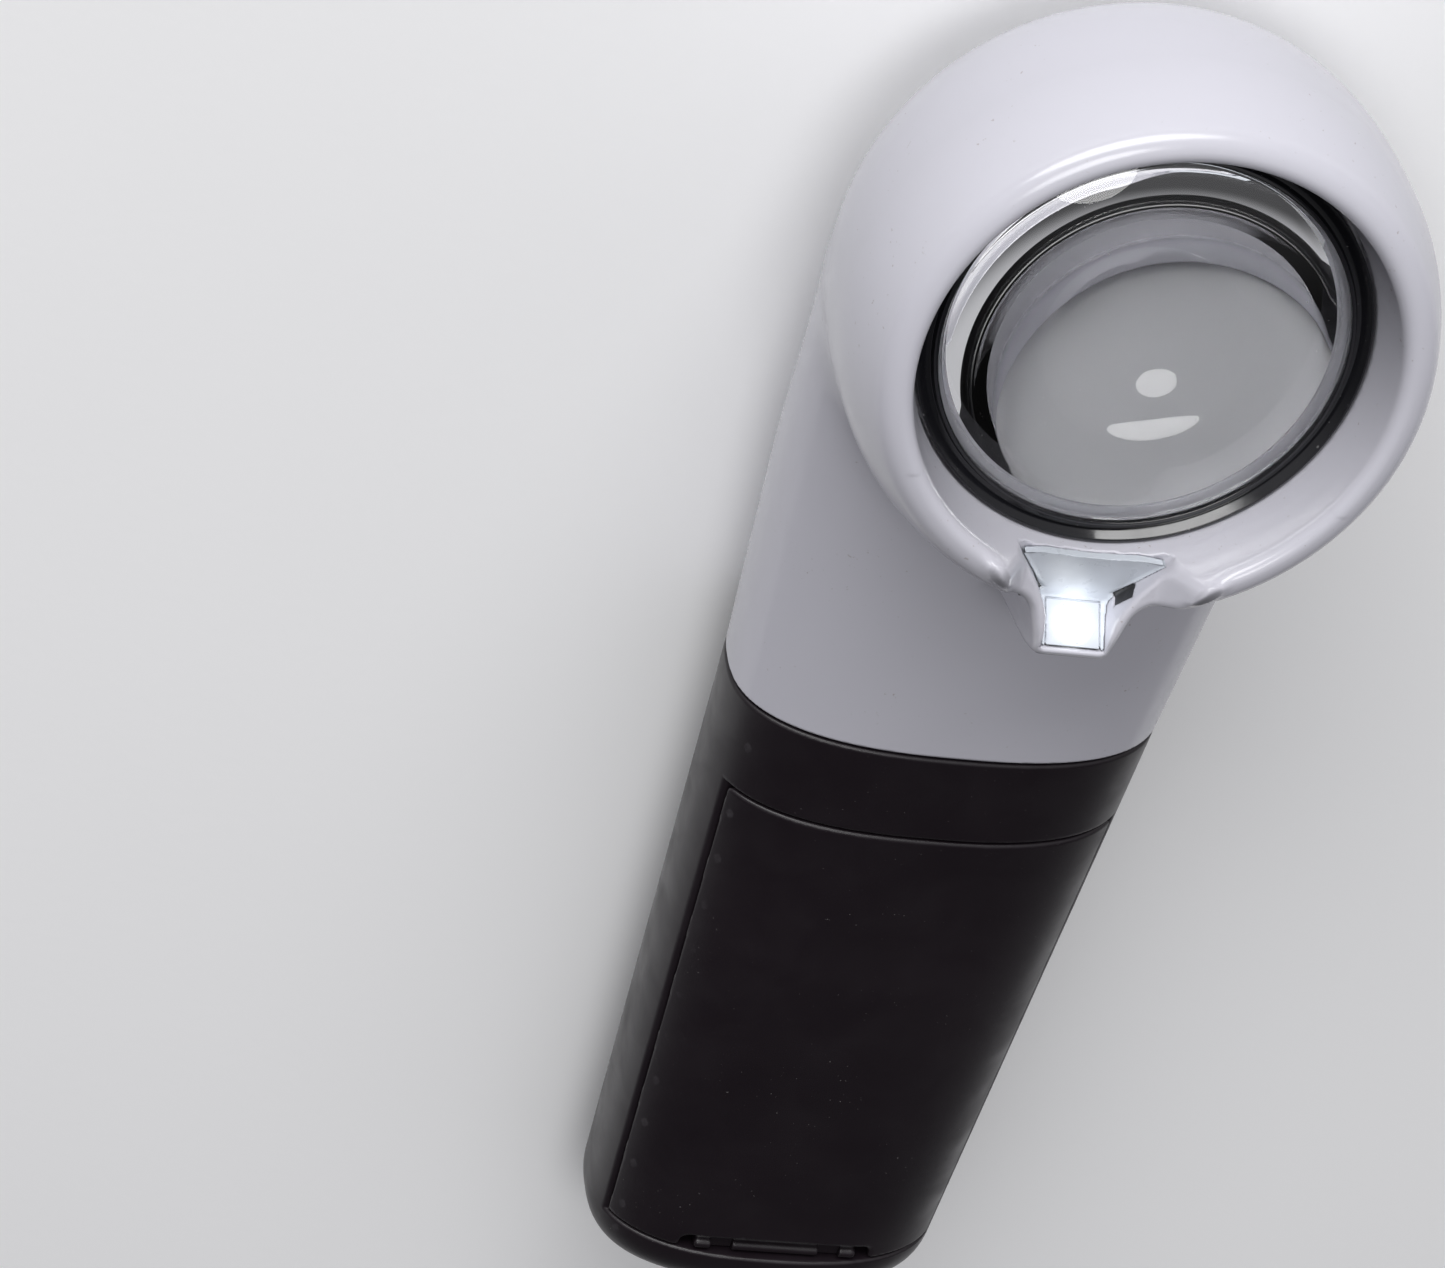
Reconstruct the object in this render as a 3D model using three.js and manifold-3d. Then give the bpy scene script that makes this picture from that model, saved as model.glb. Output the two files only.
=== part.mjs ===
// Illuminated hand magnifier: a round lens head on a flat handle that holds two AA cells.
// Millimetres. +Y runs from the head to the handle's end, +Z is the page side, and the
// magnifier lies on the flat land of its eye side, with the origin under its middle.

import * as THREE from 'three';
import { mergeVertices } from 'three/addons/utils/BufferGeometryUtils.js';
import Module from 'manifold-3d';

const wasm = await Module();
wasm.setup();

// Handle and neck, along s: distance from the lens axis towards the handle's end.
const NECK_START = -4;
const NECK_TURN = 14;            // radius of the neck's corners inside the head, seen in plan
const RISE = { start: 36, length: 22, height: 3 };   // the neck's eye side lifts a little
const TUCK = { start: 13, length: 14, height: 7 };   // and then tucks in under the head
const NECK_HOLLOW_START = 38;
const WAIST = 10.7;              // height of the widest line
const SEAM = 59.1;               // white neck meets black handle
const GROOVE = 69.6;             // top edge of the battery door
const DOOR_END = 130.1;          // bottom edge of the battery door
const HANDLE_END = 136;
const END_RADIUS = 4.5;
const SEAM_HALF_WIDTH = 20.8;
const NECK_TAPER = 0.0627;       // half width lost per millimetre
const HANDLE_TAPER = 0.0409;
const FRONT = 21.55;             // height of the crowned page-side face
const CROWN = 0.15;              // crown taken off the eye side to leave a flat land
const SECTION_POWER = 2.54;      // superellipse exponent of the cross-section
const DOOR_SPLIT = 15.95;        // height of the parting line along the handle's sides
const WALL = 2;
const GAP = 0.3;

// Head, in its own frame: z is the rim's normal and y points down the handle.
const TILT = 0.181;
const RIM_HEIGHT = 34.95;
const HEAD_REACH = 24.14;        // how far the tilted head reaches beyond the lens axis
const RIM_OUTER = 23.8;
const RIM_INNER = 21.3;
const HEAD_RADIUS = 26.1;
const HEAD_WIDEST = 10.3;        // depth of the widest circle below the rim
const HEAD_DEPTH = 26.4;
const BACK_RADIUS = 16.2;
const SHOULDER_POWER = 3.06;
const RING_DEPTH = 6.4;
const RING_RADIUS = 19.95;
const LENS_OPENING = 17.9;
const LENS_RADIUS = 18.4;
const LENS_FRONT = 6.6;          // depth of the page-side edge of the lens surface
const LENS_BACK = 9.5;
const FRONT_RADIUS = 17.55;      // edges of the lens's two curved faces
const REAR_RADIUS = 16.6;
const FRONT_SAG = 3.4;
const BACK_SAG = 6.5;
const TUBE_RADIUS = 16.9;
const COVER_RADIUS = 19.6;       // outer edge of the trim ring round the eye opening
const EYE_WELL = 14;             // how deep the round well behind the trim ring cuts the neck

// Light spout on the handle side of the rim.
const LAMP = { y: 27.8, z: -4.7, tilt: 0.864 };
const SPOUT_TOP = -3.0;

// Cells.
const CELL_RADIUS = 7.25;
const CELL_LENGTH = 49.5;
const CELL_NUB = 1;
const CELL_X = 7.55;
const CELL_Z = 10.2;
const BAY_START = 71.5;
const BAY_END = 129;

// Posts in the neck that take the screws from the battery bay.
const POST_X = 13.6;
const POST_START = 40;
const POST_RADIUS = 2.5;

const CENTRE_Y = (HANDLE_END - HEAD_REACH) / 2;
const ROUND = 48;

const white = { color: 0xdadbe4, roughness: 0.2, metalness: 0 };
const black = { color: 0x17151a, roughness: 0.42, metalness: 0 };
const glossBlack = { color: 0x0c0c0f, roughness: 0.15, metalness: 0 };
const steel = { color: 0xc4c4c6, roughness: 0.3, metalness: 1 };
const clear = { color: 0xf2f5f8, roughness: 0.03, metalness: 0, transparent: true, opacity: 0.35 };

// ---------------------------------------------------------------- solids

function solid(geometry) {
  const bare = geometry.index ? geometry.clone() : geometry;
  bare.deleteAttribute('normal');
  bare.deleteAttribute('uv');
  const merged = mergeVertices(bare, 1e-4);
  const vertProperties = new Float32Array(merged.attributes.position.array);
  const triVerts = new Uint32Array(merged.index.array);
  return new wasm.Manifold(new wasm.Mesh({ numProp: 3, vertProperties, triVerts }));
}

function geometryOf(shape) {
  const data = shape.getMesh();
  const geometry = new THREE.BufferGeometry();
  const points = new Float32Array(data.numVert * 3);
  for (let i = 0; i < data.numVert; i += 1) {
    for (let k = 0; k < 3; k += 1) {
      points[3 * i + k] = data.vertProperties[i * data.numProp + k];
    }
  }
  geometry.setAttribute('position', new THREE.BufferAttribute(points, 3));
  geometry.setIndex(new THREE.BufferAttribute(new Uint32Array(data.triVerts), 1));
  geometry.computeVertexNormals();
  return geometry;
}

function piece(name, shape, finish) {
  const geometry = shape.isBufferGeometry ? shape : geometryOf(shape);
  const mesh = new THREE.Mesh(geometry, new THREE.MeshStandardMaterial(finish));
  mesh.name = name;
  return mesh;
}

function box(x0, x1, y0, y1, z0, z1) {
  const geometry = new THREE.BoxGeometry(x1 - x0, y1 - y0, z1 - z0);
  return geometry.translate((x0 + x1) / 2, (y0 + y1) / 2, (z0 + z1) / 2);
}

function rod(radius, from, to, segments = 20) {
  const a = new THREE.Vector3(...from);
  const b = new THREE.Vector3(...to);
  const geometry = new THREE.CylinderGeometry(radius, radius, a.distanceTo(b), segments);
  const turn = new THREE.Quaternion();
  turn.setFromUnitVectors(new THREE.Vector3(0, 1, 0), b.clone().sub(a).normalize());
  geometry.applyQuaternion(turn);
  const middle = a.add(b).multiplyScalar(0.5);
  return geometry.translate(middle.x, middle.y, middle.z);
}

// A solid of revolution about z from [radius, z] points.
function lathe(points, segments = ROUND) {
  const profile = points.map(([r, z]) => new THREE.Vector2(r, z));
  return new THREE.LatheGeometry(profile, segments).rotateX(Math.PI / 2);
}

// A ring of revolution about z: its profile closes on itself.
function ring(points, segments = ROUND) {
  return lathe([...points, points[0]], segments);
}

// An outline in the x-y plane, raised from z0 to z1.
function slab(outline, z0, z1) {
  const shape = new THREE.Shape(outline.map(([x, y]) => new THREE.Vector2(x, y)));
  const geometry = new THREE.ExtrudeGeometry(shape, { depth: z1 - z0, bevelEnabled: false });
  return geometry.translate(0, 0, z0);
}

// A side view in the y-z plane, widened from -halfWidth to halfWidth.
function sidePlate(outline, halfWidth) {
  const turned = slab(outline, -halfWidth, halfWidth);
  return turned.rotateX(Math.PI / 2).rotateZ(Math.PI / 2);
}

function mirrored(half) {
  const other = half.map(([x, y]) => [-x, y]).reverse();
  return [...half, ...other];
}

function wire(points, radius, steps) {
  const path = new THREE.CatmullRomCurve3(points.map((p) => new THREE.Vector3(...p)));
  const section = new THREE.Shape();
  section.absarc(0, 0, radius, 0, 2 * Math.PI, false);
  return new THREE.ExtrudeGeometry(section, { steps, extrudePath: path, curveSegments: 4 });
}

// From the head's tilted frame to the handle's frame.
const headMatrix = new THREE.Matrix4();
headMatrix.makeRotationX(TILT).setPosition(0, 0, RIM_HEIGHT);

function fromHead(geometry) {
  return geometry.applyMatrix4(headMatrix);
}

// ---------------------------------------------------------------- flat superellipse bars

// Height of the neck's eye side above the resting plane.
function neckLift(s) {
  let height = 0;
  for (const part of [RISE, TUCK]) {
    const t = THREE.MathUtils.clamp((part.start - s) / part.length, 0, 1);
    height += part.height * t * t * (3 - 2 * t);
  }
  return height;
}

function sectionAt(s) {
  const taper = s < SEAM ? NECK_TAPER : HANDLE_TAPER;
  const past = Math.max(0, s - (HANDLE_END - END_RADIUS));
  const rounding = END_RADIUS - Math.sqrt(END_RADIUS ** 2 - past ** 2);
  const before = Math.max(0, NECK_START + NECK_TURN - s);
  const turnIn = NECK_TURN - Math.sqrt(NECK_TURN ** 2 - before ** 2);
  return {
    halfWidth: SEAM_HALF_WIDTH - (s - SEAM) * taper - rounding - turnIn,
    low: neckLift(s) + rounding - CROWN,
    waist: WAIST + neckLift(s) / 2,
    high: FRONT - rounding,
  };
}

const unitSection = [];
for (let i = 0; i < ROUND; i += 1) {
  const angle = (2 * Math.PI * i) / ROUND;
  const bend = (value) => Math.sign(value) * Math.abs(value) ** (2 / SECTION_POWER);
  unitSection.push(new THREE.Vector2(bend(Math.cos(angle)), bend(Math.sin(angle))));
}

// A bar along the handle through the given stations, drawn in by inset all round.
function bar(stations, inset = 0) {
  const steps = stations.length - 1;
  const shape = new THREE.Shape(unitSection);
  const geometry = new THREE.ExtrudeGeometry(shape, { depth: steps, steps, bevelEnabled: false });
  const position = geometry.attributes.position;
  for (let i = 0; i < position.count; i += 1) {
    const s = stations[Math.round(position.getZ(i))];
    const { halfWidth, low, waist, high } = sectionAt(s);
    const x = -position.getX(i) * (halfWidth - inset);
    const up = position.getY(i);
    const z = waist + up * (up > 0 ? high - waist - inset : waist - low - inset);
    position.setXYZ(i, x, s, Math.max(z, low + CROWN + inset));
  }
  return solid(geometry);
}

// ---------------------------------------------------------------- head

function headOutline(inset = 0) {
  const points = [[0, -HEAD_DEPTH + inset]];
  const steps = 9;
  for (let i = 0; i <= steps; i += 1) {
    const t = Math.sin((Math.PI / 2) * (i / steps));
    const drop = 1 - (1 - t ** SHOULDER_POWER) ** (1 / SHOULDER_POWER);
    const depth = HEAD_DEPTH - (HEAD_DEPTH - HEAD_WIDEST) * drop;
    const radius = BACK_RADIUS + (HEAD_RADIUS - BACK_RADIUS) * t;
    points.push([radius - inset, -depth + inset]);
  }
  points.push([25.5 - inset, -5.2], [24.6 - inset, -2.2], [RIM_OUTER - inset, -0.6]);
  points.push([23.2 - inset, -0.1], [22.4 - inset, 0], [0, 0]);
  return points;
}

function headBore() {
  return lathe([
    [0, -HEAD_DEPTH - EYE_WELL],
    [COVER_RADIUS + GAP, -HEAD_DEPTH - EYE_WELL],
    [COVER_RADIUS + GAP, -HEAD_DEPTH + 1.6],
    [TUBE_RADIUS, -HEAD_DEPTH + 1.6],
    [TUBE_RADIUS, -LENS_BACK - GAP],
    [RING_RADIUS + GAP, -LENS_BACK - GAP],
    [RING_RADIUS + GAP, -RING_DEPTH + 0.1],
    [RIM_INNER, -0.3],
    [RIM_INNER + 0.7, 0.3],
    [RIM_INNER + 0.7, 2],
    [0, 2],
  ]);
}

// The hollow between the eye tube and the outer wall, open at the back for its cover.
function headHollow() {
  return ring([
    [TUBE_RADIUS + 1.8, -HEAD_DEPTH - 1],
    [COVER_RADIUS + GAP, -HEAD_DEPTH - 1],
    [COVER_RADIUS + GAP, -HEAD_DEPTH + 2.4],
    [22.6, -21.5],
    [23.6, -14],
    [TUBE_RADIUS + 1.8, -13],
  ]);
}

// Wall that carries the lamp, in plan: it leaves the rim and narrows towards the handle.
const spoutPlan = [[10.6, 18], [9.2, 21.4], [6.9, 22.4], [5.8, 23.3], [4.9, 24.9], [4.4, 26.4], [4, 27.6],
  [3.4, 29.9], [3.3, 34]];
const troughPlan = [[8.2, 17], [7.1, 19.4], [5.6, 21.6], [4.7, 22.9], [3.95, 24.2], [3.35, 25.5],
  [2.95, 26.8], [2.85, 31]];

function spoutBody() {
  const side = [[20, SPOUT_TOP], [29.4, SPOUT_TOP + 0.5], [29.9, SPOUT_TOP + 0.2], [31.4, -5.6],
    [33.4, -22], [20, -22]];
  return solid(slab(mirrored(spoutPlan), -22, 0)).intersect(solid(sidePlate(side, 12)));
}

function troughCut() {
  const side = [[17, -6], [20, -6], [25.7, -8.3], [29.4, -4.3], [29.4, 2], [17, 2]];
  return solid(slab(mirrored(troughPlan), -9, 2)).intersect(solid(sidePlate(side, 12)));
}

function rimNotch() {
  const across = [[9.6, 1], [8.9, -0.6], [7.5, SPOUT_TOP + 0.4], [6.8, SPOUT_TOP], [-6.8, SPOUT_TOP],
    [-7.5, SPOUT_TOP + 0.4], [-8.9, -0.6], [-9.6, 1]];
  return solid(slab(across, -30, -16).rotateX(Math.PI / 2));
}

function lampFrame(geometry) {
  geometry.rotateX(LAMP.tilt);
  geometry.translate(0, LAMP.y, LAMP.z);
  return fromHead(geometry);
}

function lampPocket() {
  const pocket = solid(lampFrame(box(-2.4, 2.4, -2.5, 1.8, -2.1, 0)));
  const shaft = solid(fromHead(box(-1.5, 1.5, 27.4, 30, -28, -6)));
  const turn = solid(box(-1.5, 1.5, 30.5, 40, 9, 17));
  return pocket.add(shaft).add(turn);
}

function filterSlots() {
  const slots = [-1, 1].map((side) => {
    const slot = box(-0.65, 0.65, -1.3, 1.3, -0.55, 0.55);
    slot.rotateZ(side * 0.5);
    return solid(fromHead(slot.translate(side * 3.9, 25.0, -4.6)));
  });
  return slots[0].add(slots[1]);
}

function screwPost(side) {
  const x = side * POST_X;
  const inner = side * 11.6;
  const outer = side * 20.4;
  const web = box(Math.min(inner, outer), Math.max(inner, outer), POST_START, 52, 8.6, 12.8);
  const post = solid(rod(POST_RADIUS, [x, POST_START, CELL_Z + 0.5], [x, GROOVE - 0.5, CELL_Z + 0.5]));
  return post.add(solid(web));
}

function screwPostHole(side) {
  const x = side * POST_X;
  return solid(rod(1.4, [x, 50, CELL_Z + 0.5], [x, GROOVE + 1, CELL_Z + 0.5], 12));
}

function headHousing() {
  const neck = bar([NECK_START, -3.2, -1.5, 1, 4, 7, 10, 13, 16, 20, 24, 28, 32, RISE.start, SEAM - GAP / 2]);
  const hollowNeck = bar([NECK_HOLLOW_START, SEAM + 1], WALL);
  let body = solid(fromHead(lathe(headOutline()))).add(neck);
  const spout = spoutBody();
  const tilted = (shape) => solid(fromHead(geometryOf(shape)));
  body = body.add(tilted(spout));
  body = body.subtract(hollowNeck);
  body = body.add(screwPost(-1)).add(screwPost(1));
  body = body.subtract(solid(fromHead(headBore()))).subtract(solid(fromHead(headHollow())));
  body = body.subtract(tilted(troughCut())).subtract(tilted(rimNotch()));
  body = body.subtract(lampPocket()).subtract(filterSlots());
  body = body.subtract(screwPostHole(-1)).subtract(screwPostHole(1));
  return piece('head_housing', body, white);
}

function rearCover() {
  return piece('rear_cover', fromHead(ring([
    [TUBE_RADIUS + 0.2, -HEAD_DEPTH + 1.3],
    [TUBE_RADIUS + 0.2, -HEAD_DEPTH + 0.2],
    [TUBE_RADIUS + 0.9, -HEAD_DEPTH - 0.4],
    [COVER_RADIUS - 0.6, -HEAD_DEPTH - 0.4],
    [COVER_RADIUS, -HEAD_DEPTH + 0.2],
    [COVER_RADIUS, -HEAD_DEPTH + 1.3],
  ])), white);
}

function lens() {
  const points = [];
  const cap = (radius, sag, base, way, steps) => {
    const curve = (radius ** 2 + sag ** 2) / (2 * sag);
    const list = [];
    for (let i = 0; i <= steps; i += 1) {
      const r = (radius * i) / steps;
      list.push([r, base + way * (Math.sqrt(curve ** 2 - r ** 2) - curve + sag)]);
    }
    return list;
  };
  points.push(...cap(REAR_RADIUS, BACK_SAG, -LENS_BACK, -1, 8));
  points.push([LENS_RADIUS, -LENS_BACK], [LENS_RADIUS, -LENS_FRONT - 0.9]);
  points.push([FRONT_RADIUS + 0.05, -LENS_FRONT - 0.9]);
  points.push(...cap(FRONT_RADIUS, FRONT_SAG, -LENS_FRONT, 1, 7).reverse());
  return piece('lens', fromHead(lathe(points)), clear);
}

function lensRing() {
  return piece('lens_retaining_ring', fromHead(ring([
    [RING_RADIUS, -LENS_BACK],
    [RING_RADIUS, -RING_DEPTH],
    [RING_RADIUS - 0.25, -RING_DEPTH],
    [19.0, -7.15],
    [18.55, -7.1],
    [LENS_RADIUS, -6.5],
    [LENS_OPENING, -6.3],
    [LENS_OPENING, -LENS_FRONT - 0.5],
    [LENS_RADIUS + GAP, -LENS_FRONT - 0.6],
    [LENS_RADIUS + GAP, -LENS_BACK],
  ])), glossBlack);
}

// ---------------------------------------------------------------- lamp

function ledReflector() {
  const plan = troughPlan.map(([x, y]) => [x - GAP, y]);
  const side = [[20.75, -4.7], [26, -6.65], [28.95, -3.2], [29.1, -3.5], [29.1, -4],
    [26.3, -7.3], [26, -7.5], [20.75, -5.6]];
  const plate = solid(slab(mirrored(plan), -9, 2)).intersect(solid(sidePlate(side, 12)));
  const window = box(-2.05, 2.05, -2.35, 1.75, -2, 2).rotateX(LAMP.tilt).translate(0, LAMP.y, LAMP.z);
  return piece('led_reflector', solid(fromHead(geometryOf(plate.subtract(solid(window))))), white);
}

function ledBoard() {
  return piece('led_board', lampFrame(box(-2.1, 2.1, -2.2, 1.5, -1.95, -1.4)), {
    color: 0xe8ebe6, roughness: 0.5, metalness: 0,
  });
}

function ledPackage() {
  return piece('led_package', lampFrame(box(-1.7, 1.7, -2.0, 1.4, -1.1, -0.3)), {
    color: 0xf4f4ee, roughness: 0.4, metalness: 0,
  });
}

function ledDome() {
  const dome = lathe([[0, 0], [1.6, 0], [1.6, 0.4], [1.48, 0.95], [1.13, 1.5], [0.6, 1.85], [0, 1.95]], 24);
  return piece('led_dome', lampFrame(dome.translate(0, -GAP, 0.02)), {
    color: 0xf6fbff, roughness: 0.05, metalness: 0, emissive: 0xf4faff,
  });
}

function ledLead(name, x, color) {
  const start = new THREE.Vector3(x, LAMP.y + 1.5, -8.2).applyMatrix4(headMatrix);
  const points = [
    [x, start.y, start.z],
    [x, start.y + 0.9, start.z - 5],
    [x, 32.4, 16.5],
    [x, 34.6, 13.6],
    [x, 38, 12.4],
    [x * 2, 42, 10],
  ];
  return piece(name, wire(points, 0.38, 12), { color, roughness: 0.5, metalness: 0 });
}

// ---------------------------------------------------------------- driver and switch

const BOARD_Z = 8.2;

function driverBoard() {
  const outline = mirrored([[9.8, 39], [10.6, 39.8], [10.6, 67.6], [10, 68.2]]);
  return piece('driver_board', slab(outline, BOARD_Z, BOARD_Z + 1), {
    color: 0x1f5a3a, roughness: 0.45, metalness: 0,
  });
}

function chip(name, x, s, width, length, height, color) {
  const top = BOARD_Z + 1 + GAP;
  const body = box(x - width / 2, x + width / 2, s - length / 2, s + length / 2, top, top + height);
  return piece(name, body, { color, roughness: 0.5, metalness: 0 });
}

function inductor() {
  const points = [[0, 0], [3.1, 0], [3.1, 0.7], [2.5, 0.9], [2.5, 2.3], [3.1, 2.5], [3.1, 3.2], [0, 3.2]];
  const body = lathe(points, 20).translate(-5, 47, BOARD_Z + 1 + GAP);
  return piece('driver_inductor', body, { color: 0x3a3a3e, roughness: 0.6, metalness: 0.3 });
}

function slideSwitch() {
  return piece('slide_switch', box(-4.3, 4.3, 62.3, 66.6, 4.4, BOARD_Z - GAP), steel);
}

function knobProfile() {
  const plate = [[63.3, 1.5], [63.3, 0.9], [63.7, 0.55]];
  for (let i = 0; i < 3; i += 1) {
    const s = 64.2 + i * 1.3;
    plate.push([s, 0.55], [s + 0.35, 1.0], [s + 0.7, 0.55]);
  }
  plate.push([68.1, 0.55], [68.5, 0.9], [68.5, 1.5], [66.7, 1.5], [66.7, 4.1], [65, 4.1], [65, 1.5]);
  return plate;
}

function switchKnob() {
  const wide = solid(sidePlate(knobProfile(), 4.2));
  const stem = solid(box(-5, 5, 60, 70, 0, 1.5)).add(solid(box(-1.1, 1.1, 60, 70, 1, 5)));
  return piece('switch_knob', wide.intersect(stem), black);
}

// ---------------------------------------------------------------- handle

const ENDS = [131.5, 132.8, 134, 135, 135.7, HANDLE_END - 0.02];

function handleBody() {
  let body = bar([SEAM + GAP / 2, GROOVE, DOOR_END, ...ENDS]);
  body = body.add(bar([53.5, SEAM + 2], WALL + GAP));
  body = body.subtract(solid(box(-25, 25, GROOVE, DOOR_END, DOOR_SPLIT, 30)));
  body = body.subtract(bar([BAY_START, BAY_END], WALL));
  body = body.subtract(bar([53, SEAM + 0.1], WALL + GAP + 1.4));
  const collar = bar([SEAM, GROOVE - 0.1], WALL + GAP + 1.4);
  body = body.subtract(collar);
  body = body.subtract(solid(box(-4.6, 4.6, 60.2, 68.9, -1, 1.8)));
  body = body.subtract(solid(box(-1.5, 1.5, 61.3, 67.1, 0, 6)));
  for (const side of [-1, 1]) {
    const x = side * POST_X;
    body = body.subtract(solid(rod(1.45, [x, 66, CELL_Z + 0.5], [x, BAY_START + 1, CELL_Z + 0.5], 12)));
    body = body.subtract(solid(rod(0.9, [side * 8.4, 66, 14.4], [side * 8.4, BAY_START + 1, 14.4], 10)));
  }
  return piece('handle_body', body, black);
}

function batteryDoor() {
  let door = bar([GROOVE + GAP, DOOR_END - GAP]);
  door = door.subtract(solid(box(-25, 25, 60, 140, -1, DOOR_SPLIT + GAP)));
  door = door.subtract(bar([GROOVE - 2, DOOR_END + 2], 1.8));
  door = door.subtract(solid(box(-9.7, 9.7, 127.5, DOOR_END + 1, 15, 30)));
  return piece('battery_door', door, black);
}

function doorLatch() {
  const profile = [[128.1, 17.8], [129.8, 17.8], [129.8, 20.6], [129.4, 20.9], [128.5, 20.5],
    [128.1, 20.0]];
  return piece('door_latch', sidePlate(profile, 8.3), black);
}

// ---------------------------------------------------------------- cells and contacts

function cell(name, side, way, from) {
  const profile = [
    [0, 0], [4.6, 0], [5.0, 0.25], [6.6, 0.25], [CELL_RADIUS, 0.6],
    [CELL_RADIUS, CELL_LENGTH - 0.7], [6.6, CELL_LENGTH], [2.75, CELL_LENGTH],
    [2.75, CELL_LENGTH + CELL_NUB], [0, CELL_LENGTH + CELL_NUB],
  ];
  const body = lathe(profile, 28).rotateX(-Math.PI / 2);
  if (way < 0) {
    body.rotateX(Math.PI);
  }
  body.translate(side * CELL_X, from, CELL_Z);
  return piece(name, body, { color: 0x8c9298, roughness: 0.35, metalness: 0.6 });
}

function contactSpring(name, side, from, to) {
  const turns = 3;
  const stepsPerTurn = 12;
  const points = [];
  for (let i = 0; i <= turns * stepsPerTurn; i += 1) {
    const t = i / (turns * stepsPerTurn);
    const radius = 4.4 - 1.5 * t;
    const angle = 2 * Math.PI * turns * t;
    const s = from + (to - from) * t;
    points.push([side * CELL_X + radius * Math.cos(angle), s, CELL_Z + radius * Math.sin(angle)]);
  }
  return piece(name, wire(points, 0.35, turns * stepsPerTurn), steel);
}

function contactPlate(name, x0, x1, s) {
  return piece(name, box(x0, x1, s - 0.2, s + 0.2, 5.4, 15), steel);
}

function batteryLead(name, side, color) {
  const x = side * 8.4;
  const points = [[x, 71.4, 14.4], [x, 69, 14.4], [x, 66.6, 14.2], [x * 0.95, 64.4, 12.6],
    [x * 0.9, 63, 10.6]];
  return piece(name, wire(points, 0.45, 8), { color, roughness: 0.5, metalness: 0 });
}

function neckScrew(name, side) {
  const x = side * POST_X;
  const z = CELL_Z + 0.5;
  let screw = solid(rod(2.2, [x, 71.8, z], [x, 73.2, z], 24));
  screw = screw.add(solid(rod(1.1, [x, 56, z], [x, 72, z], 12)));
  screw = screw.subtract(solid(box(x - 1.4, x + 1.4, 72.6, 74, z - 0.25, z + 0.25)));
  screw = screw.subtract(solid(box(x - 0.25, x + 0.25, 72.6, 74, z - 1.4, z + 1.4)));
  return piece(name, screw, steel);
}

// ---------------------------------------------------------------- assembly

const frame = new THREE.Group();
frame.position.set(0, -CENTRE_Y, 0);
frame.add(headHousing(), rearCover(), lens(), lensRing());
frame.add(ledReflector(), ledBoard(), ledPackage(), ledDome());
frame.add(ledLead('led_lead_red', -0.7, 0xa01c1c), ledLead('led_lead_black', 0.7, 0x18181a));
frame.add(driverBoard(), inductor(), slideSwitch(), switchKnob());
frame.add(chip('driver_chip', 4.5, 46, 4.4, 5, 1.3, 0x1b1b1d));
frame.add(chip('driver_capacitor', 4.5, 52.5, 3.2, 1.8, 1.6, 0xb08d5a));
frame.add(handleBody(), batteryDoor(), doorLatch());
frame.add(cell('battery_left', -1, 1, 77.4), cell('battery_right', 1, -1, 123.2));
frame.add(contactSpring('contact_spring_left', -1, 72.9, 76.7));
frame.add(contactSpring('contact_spring_right', 1, 127.8, 123.9));
frame.add(contactPlate('contact_plate_left', -11, -2.9, 72.05));
frame.add(contactPlate('contact_plate_right', 2.9, 11, 72.05));
frame.add(contactPlate('bridge_plate', -12, 12, 128.5));
frame.add(batteryLead('battery_lead_red', 1, 0xa01c1c), batteryLead('battery_lead_black', -1, 0x18181a));
frame.add(neckScrew('neck_screw_left', -1), neckScrew('neck_screw_right', 1));

const magnifier = new THREE.Group();
magnifier.add(frame);
export default magnifier;
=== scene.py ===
# Illuminated hand magnifier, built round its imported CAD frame. Shapes are worked out in
# millimetres and turned into metres where a mesh is made.
import math

import bmesh
import bpy
import numpy as np
from mathutils import Matrix, Vector


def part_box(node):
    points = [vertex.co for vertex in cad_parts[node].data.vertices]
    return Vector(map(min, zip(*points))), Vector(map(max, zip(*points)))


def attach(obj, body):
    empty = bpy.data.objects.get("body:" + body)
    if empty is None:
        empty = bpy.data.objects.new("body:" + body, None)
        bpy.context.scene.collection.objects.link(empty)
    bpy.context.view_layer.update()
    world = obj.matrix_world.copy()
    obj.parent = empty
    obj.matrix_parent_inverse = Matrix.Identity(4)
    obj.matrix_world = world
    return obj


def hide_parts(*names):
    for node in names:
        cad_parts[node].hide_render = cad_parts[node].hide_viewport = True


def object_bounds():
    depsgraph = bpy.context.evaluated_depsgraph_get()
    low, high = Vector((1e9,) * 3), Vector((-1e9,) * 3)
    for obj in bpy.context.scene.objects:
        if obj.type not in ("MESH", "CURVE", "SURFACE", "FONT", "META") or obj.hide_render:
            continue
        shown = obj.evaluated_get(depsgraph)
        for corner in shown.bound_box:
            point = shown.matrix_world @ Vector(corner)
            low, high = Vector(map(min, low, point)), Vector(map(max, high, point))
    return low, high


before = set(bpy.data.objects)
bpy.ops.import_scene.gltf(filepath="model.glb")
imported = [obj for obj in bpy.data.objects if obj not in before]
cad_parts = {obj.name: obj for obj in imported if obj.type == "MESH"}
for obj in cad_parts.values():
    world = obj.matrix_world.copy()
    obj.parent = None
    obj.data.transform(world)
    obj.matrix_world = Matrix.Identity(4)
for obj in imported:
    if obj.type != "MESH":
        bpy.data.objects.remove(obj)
CAD_BOX = [list(corner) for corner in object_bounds()]

MM = 0.001
BODY = "magnifier"

# ------------------------------------------------------------------ driving dimensions, mm

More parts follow.
